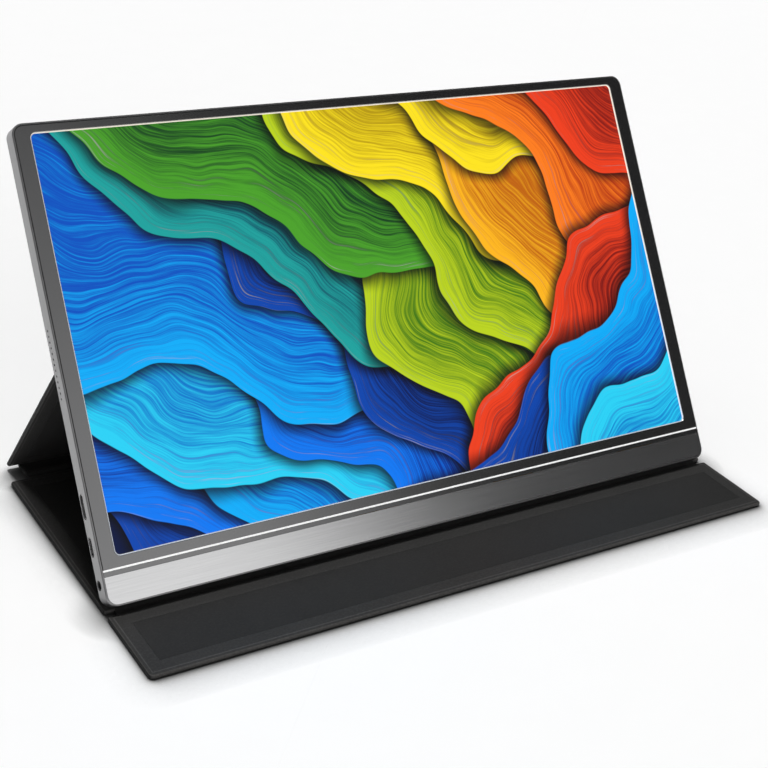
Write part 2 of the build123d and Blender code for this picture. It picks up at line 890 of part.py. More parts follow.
# The base panel under the monitor, and the flap in front of it
base_low = flap_fold_y + fold_tip
base_depth = base_fold_y - fold_tip - base_low
base_pieces = case_panel(case_w, base_depth, fold_corner_r, fold_corner_r, hem_w)
for name, piece in zip(("base_cover", "base_core", "base_lining"), base_pieces):
    nodes[name] = on_table(piece, base_low)
flap_fold_w = case_w - 2 * fold_inset
nodes["flap_fold"] = on_table(fold_strip(flap_fold_w, 1), flap_fold_y)
flap_depth = flap_front + flap_fold_y - fold_tip
flap_pieces = case_panel(case_w, flap_depth, outer_corner_r, fold_corner_r, hem_w)
core_z = skin_t - panel_t / 2
magnet_y = flap_magnet_in + magnet_w / 2
magnets = bar_magnets(magnet_y, core_z)
flap_core = flap_pieces[1]
for side in (-1, 1):
    x = side * flap_magnet_x
    half = magnet_len / 2 + magnet_fit
    low = magnet_y - magnet_w / 2 - magnet_fit
    flap_core -= block(x - half, x + half, low, low + magnet_w + 2 * magnet_fit, -panel_t, panel_t)
nodes["flap_cover"] = on_table(flap_pieces[0], -flap_front)
nodes["flap_core"] = on_table(flap_core, -flap_front)
nodes["flap_lining"] = on_table(flap_pieces[2], -flap_front)
nodes["flap_magnets"] = group([on_table(bar, -flap_front) for bar in magnets])

os.makedirs("parts", exist_ok=True)
for name, shape in nodes.items():
    export_step(shape, "parts/" + name + ".step")

print("screen fold axis", 0, round(top_fold_y - middle_y, 3), round(top_fold_z, 3))
print("foot fold axis", 0, round(foot_fold_y - middle_y, 3), axis_z)
print("base fold axis", 0, round(base_fold_y - middle_y, 3), axis_z)
print("flap fold axis", 0, round(flap_fold_y - middle_y, 3), axis_z)
pivot = on_monitor(Pos(pivot_x, rocker_y, button_z) * Box(0.1, 0.1, 0.1)).center()
print("rocker pivot", round(pivot.X, 3), round(pivot.Y, 3), round(pivot.Z, 3))
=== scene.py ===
import json
import math

import bmesh
import bpy
from mathutils import Matrix, Vector, noise


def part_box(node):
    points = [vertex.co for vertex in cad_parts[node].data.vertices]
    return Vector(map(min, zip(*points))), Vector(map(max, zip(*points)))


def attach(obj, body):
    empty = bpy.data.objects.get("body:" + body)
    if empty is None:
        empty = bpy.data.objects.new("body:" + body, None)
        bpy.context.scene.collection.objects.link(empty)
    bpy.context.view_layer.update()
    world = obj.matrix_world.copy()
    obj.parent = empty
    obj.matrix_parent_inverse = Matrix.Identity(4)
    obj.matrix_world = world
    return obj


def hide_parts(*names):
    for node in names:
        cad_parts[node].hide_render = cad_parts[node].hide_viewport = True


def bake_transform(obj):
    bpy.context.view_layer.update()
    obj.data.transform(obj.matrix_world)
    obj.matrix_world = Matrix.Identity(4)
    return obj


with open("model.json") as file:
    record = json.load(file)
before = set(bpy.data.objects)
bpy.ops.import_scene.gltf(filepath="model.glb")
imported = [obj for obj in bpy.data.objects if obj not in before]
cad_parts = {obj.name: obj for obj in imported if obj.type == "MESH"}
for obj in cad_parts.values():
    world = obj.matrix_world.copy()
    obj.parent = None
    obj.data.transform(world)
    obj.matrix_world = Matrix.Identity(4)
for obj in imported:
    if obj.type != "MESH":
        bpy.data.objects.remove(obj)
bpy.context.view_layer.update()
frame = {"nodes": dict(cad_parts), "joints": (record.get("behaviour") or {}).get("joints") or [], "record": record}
nodes = frame["nodes"]
joints = {joint["name"]: joint for joint in frame["joints"]}

MM = 0.001

# A step too small to see, which keeps faces from lying in one plane
HAIR = 0.01 * MM

# The camera: place and axes in the part's frame, and the photograph's framing
CAMERA_AT = (-0.41331, -0.53347, 0.41434)
CAMERA_LOOK = (0.49650, 0.73736, -0.45802)
CAMERA_UP = (0.15658, 0.44292, 0.88278)
CAMERA_LENS = 70.04
CAMERA_SHIFT = (0.0833, -0.0247)

# The housing in its own drawing frame: X to the right, Y up the picture, Z out of it
VIEW_W = 344.2 * MM
VIEW_H = 193.6 * MM
VIEW_LOW = 22.2 * MM
VIEW_CORNER = 2.4 * MM
BODY_W = 361.6 * MM
BODY_H = 220.8 * MM
BODY_CORNER = 5.5 * MM
TRIM_TOP = 17.0 * MM
BEZEL_FRONT = 8.9 * MM
BEZEL_BACK = 8.0 * MM
BEZEL_BEVEL = 0.6 * MM
ROCKER_AT = (177.2 * MM, 52.0 * MM, 3.0 * MM)

# Case panels: thickness, round edge, turned hem, and the line pressed along the edge
PANEL_T = 2.4 * MM
PANEL_EDGE = 1.15 * MM
BACK_DROP = 1.0 * MM
HEM = 8.5 * MM
SPINE_HEM = 2.2 * MM
LINE_IN = 1.9 * MM
LINE_OUT = 2.5 * MM
LINE_SIDE = 0.4 * MM
LINE_DIP = 0.03 * MM

# The lining in its bed, and how far its face waves
LINING_LOW = 1.93 * MM
LINING_TOP = 2.37 * MM
LINING_GAP = 0.05 * MM
LINING_R = 0.4 * MM
LINING_CROWN = 0.02 * MM
LINING_WAVE = 0.03 * MM
WAVE_CALM = 12.0 * MM

# Soft folds: distance from panel to axis, half length, half thickness, bend and rounded ends
FOLD_TIP = 1.6 * MM
FOLD_REACH = 4.4 * MM
FOLD_WAIST = 0.58 * MM
FOLD_OVER = 0.015 * MM
FOLD_BEND = 1.5 * MM
FOLD_END = 1.0 * MM
FOLD_STEPS = 15
FOLD_LANES = 48

# Bevel round the picture, and the strip of painted shade in the gap round the frame
RING_IN = 0.1 * MM
RING_OUT = 0.4 * MM
RING_LIFT = 0.04 * MM
GAP_IN = 0.85 * MM
GAP_OUT = 1.3 * MM
GAP_LOW = 0.1 * MM
GAP_HIGH = 0.02 * MM

# How finely the panels' meshes are divided
CORNER_STEPS = 10
ACROSS_STEPS = 72
EDGE_STEPS = 8
STEP_LENGTH = 6 * MM
SMALLEST_R = 0.2 * MM
MIDDLE_SLOT = 0.4 * MM


# Places taken from the joints
screen_axis = Vector(joints["screen_tilt"]["pos_m"])
foot_axis = Vector(joints["strut_lean"]["pos_m"])
base_axis = Vector(joints["base_hang"]["pos_m"])
flap_axis = Vector(joints["flap_lift"]["pos_m"])
face_normal = Vector(joints["rocker_tip"]["axis"])
face_up = Vector((0, -face_normal.z, face_normal.y)) * -1
side_x = Vector((1, 0, 0))
housing_zero = (
    Vector(joints["rocker_tip"]["pos_m"])
    - side_x * ROCKER_AT[0]
    - face_up * ROCKER_AT[1]
    - face_normal * ROCKER_AT[2]
)


def axes_matrix(origin, along, normal):
    """A placing matrix whose Y runs along the given direction and whose Z is the normal."""
    across = along.cross(normal)
    matrix = Matrix((across, along, normal)).transposed().to_4x4()
    matrix.translation = origin
    return matrix


housing_matrix = axes_matrix(housing_zero, face_up, face_normal)
strut_along = (screen_axis - foot_axis).normalized()
strut_normal = Vector((0, -strut_along.z, strut_along.y))


# Node building

def put(tree, socket, value):
    """Links a socket to the given one, or sets its value."""
    if isinstance(value, bpy.types.NodeSocket):
        tree.links.new(value, socket)
    elif socket.type == "RGBA":
        socket.default_value = (*value[:3], 1.0)
    else:
        socket.default_value = value


def add(tree, kind, settings=None, **inputs):
    """A node with settings and named inputs. An input's name has underscores for spaces."""
    node = tree.nodes.new("ShaderNode" + kind)
    for name, value in (settings or {}).items():
        setattr(node, name, value)
    for name, value in inputs.items():
        put(tree, node.inputs[name.replace("_", " ")], value)
    return node


def calc(tree, operation, *values, clamp=False):
    """One sum on numbers."""
    node = tree.nodes.new("ShaderNodeMath")
    node.operation = operation
    node.use_clamp = clamp
    for socket, value in zip(node.inputs, values):
        put(tree, socket, value)
    return node.outputs[0]


def vector_calc(tree, operation, *values):
    """One sum on vectors."""
    node = tree.nodes.new("ShaderNodeVectorMath")
    node.operation = operation
    for socket, value in zip(node.inputs, values):
        put(tree, socket, value)
    return node


def dot(tree, vector, axis):
    """How far a vector reaches along an axis."""
    return vector_calc(tree, "DOT_PRODUCT", vector, tuple(axis)).outputs["Value"]


def weighed(tree, first, first_share, second, second_share):
    """The sum of two values, each times its share."""
    return calc(
        tree,
        "ADD",
        calc(tree, "MULTIPLY", first, first_share),
        calc(tree, "MULTIPLY", second, second_share),
    )


def blend_color(tree, factor, low, high, kind="MIX"):
    """Mixes two colours."""
    node = tree.nodes.new("ShaderNodeMix")
    node.data_type = "RGBA"
    node.blend_type = kind
    put(tree, node.inputs[0], factor)
    put(tree, node.inputs[6], low)
    put(tree, node.inputs[7], high)
    return node.outputs[2]


def remap(tree, value, low, high, to_low=0.0, to_high=1.0, smooth=True):
    """Maps a range to another, with soft ends."""
    node = tree.nodes.new("ShaderNodeMapRange")
    node.interpolation_type = "SMOOTHSTEP" if smooth else "LINEAR"
    for socket, entry in zip(node.inputs, (value, low, high, to_low, to_high)):
        put(tree, socket, entry)
    return node.outputs[0]


# The range that a noise value keeps to nearly everywhere
NOISE_LOW = 0.3
NOISE_HIGH = 0.7


def spread(tree, value, to_low=0.0, to_high=1.0):
    """Maps the usual range of a noise value to another."""
    return remap(tree, value, NOISE_LOW, NOISE_HIGH, to_low, to_high)


def cloudy(tree, value, low, high):
    """Mixes two colours by a noise value."""
    return blend_color(tree, spread(tree, value), low, high)


def object_point(tree):
    """The place on the piece, in metres."""
    return tree.nodes.new("ShaderNodeTexCoord").outputs["Object"]


def stretched(tree, scale):
    """The place on the piece in the housing's own axes, stretched by a scale for each axis."""
    point = object_point(tree)
    parts = []
    for axis, factor in zip((side_x, face_up, face_normal), scale):
        parts.append(calc(tree, "MULTIPLY", dot(tree, point, axis), factor))
    joined = tree.nodes.new("ShaderNodeCombineXYZ")
    for socket, value in zip(joined.inputs, parts):
        put(tree, socket, value)
    return joined.outputs[0]


def grain(tree, vector, scale, detail=3.0, rough=0.55):
    """A noise value of about 0 to 1."""
    node = add(tree, "TexNoise", Scale=scale, Detail=detail, Roughness=rough)
    put(tree, node.inputs["Vector"], vector)
    return node.outputs[0]


def bump(tree, height, distance, strength):
    """Surface relief from a height value, with its depth in metres."""
    return add(tree, "Bump", Height=height, Distance=distance, Strength=strength).outputs[0]


def new_material(name):
    """An empty material with its shader and output."""
    material = bpy.data.materials.new(name)
    material.use_nodes = True
    tree = material.node_tree
    tree.nodes.clear()
    shader = tree.nodes.new("ShaderNodeBsdfPrincipled")
    output = tree.nodes.new("ShaderNodeOutputMaterial")
    tree.links.new(shader.outputs[0], output.inputs[0])
    return material, tree, shader


def set_shader(tree, shader, **inputs):
    """Sets the shader's inputs by name, with underscores for spaces."""
    for name, value in inputs.items():
        put(tree, shader.inputs[name.replace("_", " ")], value)


# Materials

# The case's low, middle and high tones, how warm they are, and how light each cloth is
CHARCOAL = (0.013, 0.0165, 0.024)
WARMTH = (1.03, 1.0, 0.97)
LEATHER_SHARE = 1.25
# How much lighter the painted highlight along the pressed line and the round edge is
PAINTED_HIGHLIGHT_SHARE = 2.8
LINING_SHARE = 0.72
# Near-black painted shade for the faces at a panel's left and right ends
PAINTED_END_SHADE = (0.002, 0.002, 0.002)
CLOTH_SPECULAR = 0.25
CLOTH_SHEEN = 0.03
CLOTH_SHEEN_ROUGH = 0.5


def charcoal(share):
    """The case's low, middle and high tones, lighter or darker by a share."""
    return [tuple(value * share * warm for warm in WARMTH) for value in CHARCOAL]


def specked(tree, color, point, scale, high):
    """Adds fine, slightly lighter specks to a colour."""
    speck = grain(tree, point, scale, 3.0)
    return blend_color(tree, remap(tree, speck, 0.42, 0.68, 0.0, 0.6), color, high)


def painted_shade_at_ends(tree, color):
    """Painted shade: blackens the faces that point to a panel's left and right ends."""
    normal = tree.nodes.new("ShaderNodeTexCoord").outputs["Normal"]
    sideways = calc(tree, "ABSOLUTE", dot(tree, normal, side_x))
    return blend_color(tree, remap(tree, sideways, 0.5, 0.8), color, PAINTED_END_SHADE)


def leathercloth(name, share):
    """Charcoal leathercloth with a fine pebble grain and slightly lighter high spots."""
    material, tree, shader = new_material(name)
    point = object_point(tree)
    cells = add(tree, "TexVoronoi", {"feature": "SMOOTH_F1"}, Scale=1700.0, Smoothness=0.6)
    put(tree, cells.inputs["Vector"], point)
    pebble = calc(tree, "SUBTRACT", 1.0, cells.outputs["Distance"])
    fine = grain(tree, point, 4200.0, 2.0)
    broad = grain(tree, point, 26.0, 3.0)
    height = weighed(tree, pebble, 0.7, fine, 0.3)
    low, middle, high = charcoal(share)
    color = cloudy(tree, broad, low, middle)
    color = blend_color(tree, remap(tree, pebble, 0.45, 0.95, 0.0, 0.3), color, high)
    color = specked(tree, color, point, 800.0, high)
    set_shader(
        tree,
        shader,
        # The faces at the panel's left and right ends get painted shade
        Base_Color=painted_shade_at_ends(tree, color),
        Roughness=remap(tree, height, 0.3, 0.9, 0.66, 0.56),
        Specular_IOR_Level=CLOTH_SPECULAR,
        Sheen_Weight=CLOTH_SHEEN,
        Sheen_Roughness=CLOTH_SHEEN_ROUGH,
        Normal=bump(tree, height, 0.00006, 0.9),
    )
    return material


def lining_cloth():
    """Dark cloth with a soft nap, darker than the leathercloth round it."""
    material, tree, shader = new_material("lining_cloth")
    point = object_point(tree)
    nap = grain(tree, point, 2600.0, 4.0, 0.7)
    broad = grain(tree, point, 18.0, 3.0)
    mottle = grain(tree, point, 240.0, 3.0)
    tone = weighed(tree, broad, 0.6, mottle, 0.4)
    low, middle, high = charcoal(LINING_SHARE)
    color = blend_color(tree, remap(tree, tone, 0.35, 0.65), low, middle)
    color = specked(tree, color, point, 900.0, high)
    set_shader(
        tree,
        shader,
        Base_Color=color,
        Roughness=0.66,
        Specular_IOR_Level=CLOTH_SPECULAR,
        Sheen_Weight=CLOTH_SHEEN,
        Sheen_Roughness=CLOTH_SHEEN_ROUGH,
        Normal=bump(tree, nap, 0.00005, 0.9),
    )
    return material


def satin_aluminium(name="satin_aluminium", tone=(0.28, 0.28, 0.284), rough=0.32):
    """Bead-blasted, anodised aluminium."""
    material, tree, shader = new_material(name)
    point = object_point(tree)
    blast = grain(tree, point, 5200.0, 2.0)
    cloud = grain(tree, point, 14.0, 3.0)
    dark = tuple(channel * 0.93 for channel in tone)
    set_shader(
        tree,
        shader,
        Base_Color=cloudy(tree, cloud, dark, tone),
        Metallic=1.0,
        Roughness=spread(tree, blast, rough - 0.04, rough + 0.05),
        Normal=bump(tree, blast, 0.000012, 0.6),
    )
    return material


def brushed_aluminium():
    """Aluminium brushed along the chin, with fine long streaks."""
    material, tree, shader = new_material("brushed_aluminium")
    streak = grain(tree, stretched(tree, (26.0, 9000.0, 9000.0)), 1.0, 4.0, 0.6)
    wide = grain(tree, stretched(tree, (9.0, 2400.0, 2400.0)), 1.0, 3.0, 0.55)
    mixed = weighed(tree, streak, 0.65, wide, 0.35)
    shade = remap(tree, mixed, 0.32, 0.68)
    set_shader(
        tree,
        shader,
        Base_Color=blend_color(tree, shade, (0.55, 0.55, 0.555), (0.69, 0.69, 0.695)),
        Metallic=1.0,
        Roughness=spread(tree, mixed, 0.15, 0.20),
        Normal=bump(tree, mixed, 0.000008, 0.5),
    )
    return material


def bezel_finish():
    """Dark grey satin frame finish with a very fine tooth."""
    material, tree, shader = new_material("bezel_finish")
    point = object_point(tree)
    tooth = grain(tree, point, 3600.0, 2.0)
    cloud = grain(tree, point, 9.0, 2.0)
    set_shader(
        tree,
        shader,
        Base_Color=cloudy(tree, cloud, (0.195, 0.195, 0.197), (0.210, 0.210, 0.212)),
        Metallic=0.97,
        Roughness=spread(tree, tooth, 0.15, 0.20),
        Normal=bump(tree, tooth, 0.000004, 0.5),
    )
    return material


def trim_line_painted_glow():
    """The pale polished line under the picture, with a faint painted glow that makes it brighter than its light
    alone does.
    """
    material, tree, shader = new_material("trim_line_painted_glow")
    streak = grain(tree, stretched(tree, (20.0, 6000.0, 6000.0)), 1.0, 3.0)
    color = cloudy(tree, streak, (0.92, 0.92, 0.92), (0.98, 0.98, 0.98))
    set_shader(
        tree,
        shader,
        Base_Color=color,
        Roughness=0.25,
        # Painted light: the line glows faintly in its own colour
        Emission_Color=color,
        Emission_Strength=0.15,
    )
    return material


def window_bevel_painted_glint():
    """The clear bevel round the picture, with a painted glint: it glows according to the way its faces point, most
    at the top and the right, warm above and cool below.
    """
    material, tree, shader = new_material("window_bevel_painted_glint")
    point = object_point(tree)
    soft = grain(tree, point, 700.0, 2.0)
    normal = tree.nodes.new("ShaderNodeTexCoord").outputs["Normal"]
    # Painted highlight: the glow is strongest on the faces that point this way, and a little everywhere
    painted_glint_way = side_x * -0.49 + face_up * -0.35
    strength = dot(tree, normal, painted_glint_way)
    height = dot(tree, point, face_up)
    middle = housing_zero.dot(face_up) + VIEW_LOW + VIEW_H / 2
    # The painted glint's colour: warm towards the top, cool towards the bottom
    glint_tint = remap(tree, height, middle - 0.07, middle + 0.04)
    set_shader(
        tree,
        shader,
        Base_Color=cloudy(tree, soft, (0.36, 0.36, 0.37), (0.44, 0.44, 0.45)),
        Roughness=0.3,
        Emission_Color=blend_color(tree, glint_tint, (0.74, 0.84, 1.0), (1.0, 0.88, 0.70)),
        Emission_Strength=calc(tree, "ADD", strength, 0.4, clamp=True),
    )
    return material


def plain_finish(name, color, metallic=0.0, rough=0.5):
    """A moulded, plated or printed finish with a fine texture and a little variation."""
    material, tree, shader = new_material(name)
    point = object_point(tree)
    fine = grain(tree, point, 900.0, 3.0)
    cloud = grain(tree, point, 60.0, 2.0)
    dark = tuple(channel * 0.85 for channel in color)
    set_shader(
        tree,
        shader,
        Base_Color=cloudy(tree, cloud, dark, color),
        Metallic=metallic,
        Roughness=spread(tree, fine, max(rough - 0.06, 0.05), rough + 0.06),
        Normal=bump(tree, fine, 0.00002, 0.4),
    )
    return material


# The picture on the screen: overlapping ribbons, drawn from the back to the front. Each has a
# direction in degrees, how far its edge lies along the turned axis in mm, its wave's height,
# length and phase, its width, and the names of its colours.
SHADES = {
    "navy": ((0.000, 0.006, 0.07), (0.000, 0.060, 0.42)),
    "blue": ((0.000, 0.028, 0.30), (0.000, 0.190, 0.90)),
    "azure": ((0.000, 0.080, 0.52), (0.000, 0.420, 0.95)),
    "cyan": ((0.000, 0.160, 0.58), (0.020, 0.640, 0.92)),
    "teal": ((0.000, 0.070, 0.12), (0.010, 0.360, 0.34)),
    "green": ((0.004, 0.045, 0.010), (0.070, 0.360, 0.02)),
    "lime": ((0.050, 0.180, 0.004), (0.500, 0.660, 0.01)),
    "yellow": ((0.420, 0.270, 0.001), (1.000, 0.780, 0.01)),
    "amber": ((0.520, 0.120, 0.001), (1.000, 0.480, 0.01)),
    "orange": ((0.460, 0.035, 0.002), (1.000, 0.210, 0.01)),
    "red": ((0.180, 0.004, 0.003), (0.860, 0.050, 0.01)),
}
RIBBONS = [
    (38, -182, 9, 120, 0.4, 44, "navy"),
    (58, -160, 11, 140, 1.6, 36, "blue"),
    (30, -136, 10, 110, 2.0, 34, "azure"),
    (66, -112, 9, 130, 3.6, 32, "cyan"),
    (44, -94, 12, 100, 0.9, 30, "blue"),
    (72, -66, 9, 120, 5.2, 32, "azure"),
    (36, -50, 10, 95, 4.1, 26, "navy"),
    (52, -30, 9, 130, 1.1, 30, "teal"),
    (26, -14, 11, 105, 2.7, 26, "lime"),
    (62, 10, 9, 115, 0.2, 28, "green"),
    (40, 28, 10, 125, 3.3, 26, "lime"),
    (56, 52, 9, 100, 4.4, 28, "yellow"),
    (30, 70, 11, 135, 1.9, 26, "amber"),
    (64, 92, 9, 110, 3.1, 28, "yellow"),
    (42, 110, 10, 120, 5.6, 28, "orange"),
    (54, 134, 9, 100, 0.8, 36, "red"),
    (-48, 84, 10, 115, 2.2, 26, "red"),
    (-66, 92, 9, 105, 4.8, 26, "navy"),
    (-40, 116, 10, 125, 0.6, 28, "azure"),
    (-58, 134, 8, 95, 3.9, 40, "cyan"),
]


def ribbon_picture():
    """The glass with its lit picture behind."""
    material, tree, shader = new_material("ribbon_picture")
    middle = housing_zero + face_up * (VIEW_LOW + VIEW_H / 2)
    offset = vector_calc(tree, "SUBTRACT", object_point(tree), tuple(middle)).outputs[0]
    offset = vector_calc(tree, "MULTIPLY", offset, (1000.0, 1000.0, 1000.0)).outputs[0]
    u = dot(tree, offset, side_x)
    v = dot(tree, offset, face_up)
    flat = add(tree, "CombineXYZ", X=u, Y=v).outputs[0]
    drift = calc(tree, "SUBTRACT", grain(tree, flat, 0.014, 2.0), 0.5)
    color = (0.0, 0.006, 0.05)
    for angle, edge, height, length, phase, width, shade in RIBBONS:
        dark, light = SHADES[shade]
        cos = math.cos(math.radians(angle))
        sin = math.sin(math.radians(angle))
        along = calc(tree, "SUBTRACT", calc(tree, "MULTIPLY", v, cos), calc(tree, "MULTIPLY", u, sin))
        across = calc(tree, "ADD", calc(tree, "MULTIPLY", u, cos), calc(tree, "MULTIPLY", v, sin))
        turn = calc(tree, "MULTIPLY_ADD", along, math.tau / length, phase)
        depth = calc(tree, "MULTIPLY_ADD", calc(tree, "SINE", turn), height, across)
        depth = calc(tree, "MULTIPLY_ADD", drift, 36.0, depth)
        depth = calc(tree, "SUBTRACT", depth, edge)
        crease = remap(tree, depth, -9.0, 0.5, 1.0, 0.1)
        color = blend_color(tree, 1.0, color, crease, "MULTIPLY")
        place = add(
            tree,
            "CombineXYZ",
            X=calc(tree, "MULTIPLY", along, 0.02),
            Y=calc(tree, "MULTIPLY", depth, 0.85),
            Z=phase * 7.0,
        )
        streak = grain(tree, place.outputs[0], 1.0, 5.0, 0.65)
        reach = calc(tree, "ADD", calc(tree, "ABSOLUTE", depth), width * 0.7)
        share = calc(tree, "DIVIDE", depth, reach)
        share = calc(tree, "ADD", share, remap(tree, streak, 0.25, 0.75, -0.5, 0.5, smooth=False))
        tone = blend_color(tree, remap(tree, share, 0.95, 0.05), dark, light)
        near_edge = remap(tree, depth, 18.0, 1.0, 0.0, 0.4)
        glint = calc(tree, "MULTIPLY", remap(tree, streak, 0.55, 0.8), near_edge)
        tone = blend_color(tree, glint, tone, (1.0, 0.97, 0.88))
        color = blend_color(tree, remap(tree, depth, -0.3, 0.3), color, tone)
    set_shader(
        tree,
        shader,
        Base_Color=(0.006, 0.006, 0.007),
        Roughness=0.38,
        Specular_IOR_Level=0.12,
        Emission_Color=color,
        Emission_Strength=1.0,
    )
    return material


# Meshes

def mesh_object(name, vertices, faces, matrix, material, marked=(), second=None):
    """A smooth-shaded piece from points in its own frame. Marked faces get a second material."""
    mesh = bpy.data.meshes.new(name)
    mesh.from_pydata([tuple(matrix @ Vector(v)) for v in vertices], [], faces)
    made = bmesh.new()
    made.from_mesh(mesh)
    bmesh.ops.recalc_face_normals(made, faces=made.faces)
    made.to_mesh(mesh)
    made.free()
    for polygon in mesh.polygons:
        polygon.use_smooth = True
    mesh.materials.append(material)
    if second is not None:
        mesh.materials.append(second)
    for k in marked:
        mesh.polygons[k].material_index = 1
    piece = bpy.data.objects.new(name, mesh)
    bpy.context.scene.collection.objects.link(piece)
    return piece


def loop_points(width, depth, radii, inset, along_steps):
    """A rounded rectangle set in from its edge, always with as many points in the same order."""
    half = width / 2 - inset
    low = inset
    high = depth - inset
    low_r = max(radii[0] - inset, SMALLEST_R)
    high_r = max(radii[1] - inset, SMALLEST_R)
    corners = [
        (half - low_r, low + low_r, low_r, -90),
        (half - high_r, high - high_r, high_r, 0),
        (high_r - half, high - high_r, high_r, 90),
        (low_r - half, low + low_r, low_r, 180),
    ]
    arcs = []
    for x, y, radius, start in corners:
        turns = [math.radians(start + 90 * i / CORNER_STEPS) for i in range(CORNER_STEPS + 1)]
        arcs.append([(x + radius * math.cos(t), y + radius * math.sin(t)) for t in turns])
    points = []
    for i, steps in enumerate((along_steps, ACROSS_STEPS, along_steps, ACROSS_STEPS)):
        points += arcs[i]
        x0, y0 = arcs[i][-1]
        x1, y1 = arcs[(i + 1) % 4][0]
        for k in range(1, steps):
            share = k / steps
            points.append((x0 + (x1 - x0) * share, y0 + (y1 - y0) * share))
    return points


def close_middle(start, along_steps):
    """Faces that close the narrow slot left by the innermost loop."""
    side = CORNER_STEPS + along_steps
    top = side + CORNER_STEPS
    bottom = 2 * side + 2 * CORNER_STEPS + ACROSS_STEPS
    total = bottom + ACROSS_STEPS
    faces = []
    for k in range(ACROSS_STEPS):
        upper = start + top + k
        lower = total - k
        faces.append((upper, upper + 1, start + lower - 1, start + lower % total))
    faces.append([start + k for k in range(top + 1)])
    faces.append([start + k for k in range(top + ACROSS_STEPS, bottom + 1)])
    return faces


def ring_solid(width, depth, radii, profile, wave, along_steps):
    """A closed solid from a profile of (set-in, height) steps round a rounded rectangle."""
    vertices = []
    loops = []
    for inset, z in profile:
        loops.append(len(vertices))
        for x, y in loop_points(width, depth, radii, inset, along_steps):
            calm = min(inset / WAVE_CALM, 1.0)
            lift = noise.noise(Vector((x, y, z * 40)) * 22.0) * wave * calm
            vertices.append((x, y, z + lift))
    total = loops[1] - loops[0]
    faces = []
    for start, above in zip(loops, loops[1:]):
        for k in range(total):
            n = (k + 1) % total
            faces.append((start + k, start + n, above + n, above + k))
    faces += close_middle(loops[0], along_steps)
    faces += close_middle(loops[-1], along_steps)
    return vertices, faces


def inner_steps(depth, start, count=6):
    """Even steps of set-in from a start to just short of the middle."""
    end = depth / 2 - MIDDLE_SLOT
    return [start + (end - start) * i / count for i in range(1, count + 1)]


def cover_piece(name, width, depth, radii, matrix, hem, material):
    """The leathercloth of one panel: outer face, round edge, turned hem and the lining's bed.

    The pressed line on both faces and the upper half of the edge get a lighter copy of the cloth: a painted
    highlight.
    """
    along_steps = max(6, round(depth / STEP_LENGTH))
    with_line = hem > LINE_OUT
    line = [
        (LINE_OUT + LINE_SIDE, LINE_DIP),
        (LINE_OUT, 0.0),
        (LINE_IN, 0.0),
        (LINE_IN - LINE_SIDE, LINE_DIP),
    ]
    outside = [(inset, 0.0) for inset in reversed(inner_steps(depth, hem))] + [(hem, 0.0)]
    side = []
    for i in range(EDGE_STEPS + 1):
        turn = math.radians(-90 + 180 * i / EDGE_STEPS)
        height = PANEL_T / 2 + (PANEL_T / 2 - HAIR) * math.sin(turn)
        side.append((PANEL_EDGE * (1 - math.cos(turn)), height))
    top = []
    if with_line:
        outside += line
        top += [(inset, PANEL_T - dip) for inset, dip in reversed(line)]
        top.append((hem * 0.75, PANEL_T - HAIR))
    top += [
        (hem - 0.2 * MM, PANEL_T),
        (hem - 0.05 * MM, PANEL_T - 0.02 * MM),
        (hem, PANEL_T - 0.06 * MM),
        (hem + HAIR, LINING_LOW + 0.06 * MM),
        (hem + 0.2 * MM, LINING_LOW),
    ]
    bed = [(inset, LINING_LOW) for inset in inner_steps(depth, hem + 0.2 * MM, 3)]
    profile = outside + side + top + bed
    vertices, faces = ring_solid(width, depth, radii, profile, 0.0, along_steps)
    marked = []
    if with_line:
        total = len(vertices) // len(profile)
        rim = len(outside)
        # Painted highlight: these lanes get the lighter copy of the cloth
        highlight_lanes = range(rim + 3, rim + 7)
        for lane in (rim - 3, *highlight_lanes, rim + len(side) + 1):
            marked += range(lane * total, (lane + 1) * total)
    return mesh_object(name, vertices, faces, matrix, material, marked, painted_edge_highlight)


def lining_piece(name, width, depth, matrix, hem, material):
    """The cloth lining that lies in the cover's bed."""
    inset = hem + LINING_GAP
    along_steps = max(4, round(depth / STEP_LENGTH))
    inner_w = width - 2 * inset
    inner_d = depth - 2 * inset
    low = LINING_LOW + HAIR
    crown = LINING_TOP + LINING_CROWN
    profile = [
        (inner_d / 2 - MIDDLE_SLOT, low),
        (0.3 * MM, low),
        (0.0, low + 0.08 * MM),
        (0.0, LINING_TOP - 0.05 * MM),
        (0.03 * MM, LINING_TOP - HAIR),
        (0.1 * MM, LINING_TOP),
        (0.6 * MM, crown),
    ]
    profile += [(step, crown) for step in inner_steps(inner_d, 0.6 * MM)]
    radii = (LINING_R, LINING_R)
    vertices, faces = ring_solid(inner_w, inner_d, radii, profile, LINING_WAVE, along_steps)
    shifted = matrix @ Matrix.Translation((0, inset, 0))
    return mesh_object(name, vertices, faces, shifted, material)


def eased(share):
    """A share of 0 to 1 with soft ends."""
    return share * share * (3 - 2 * share)


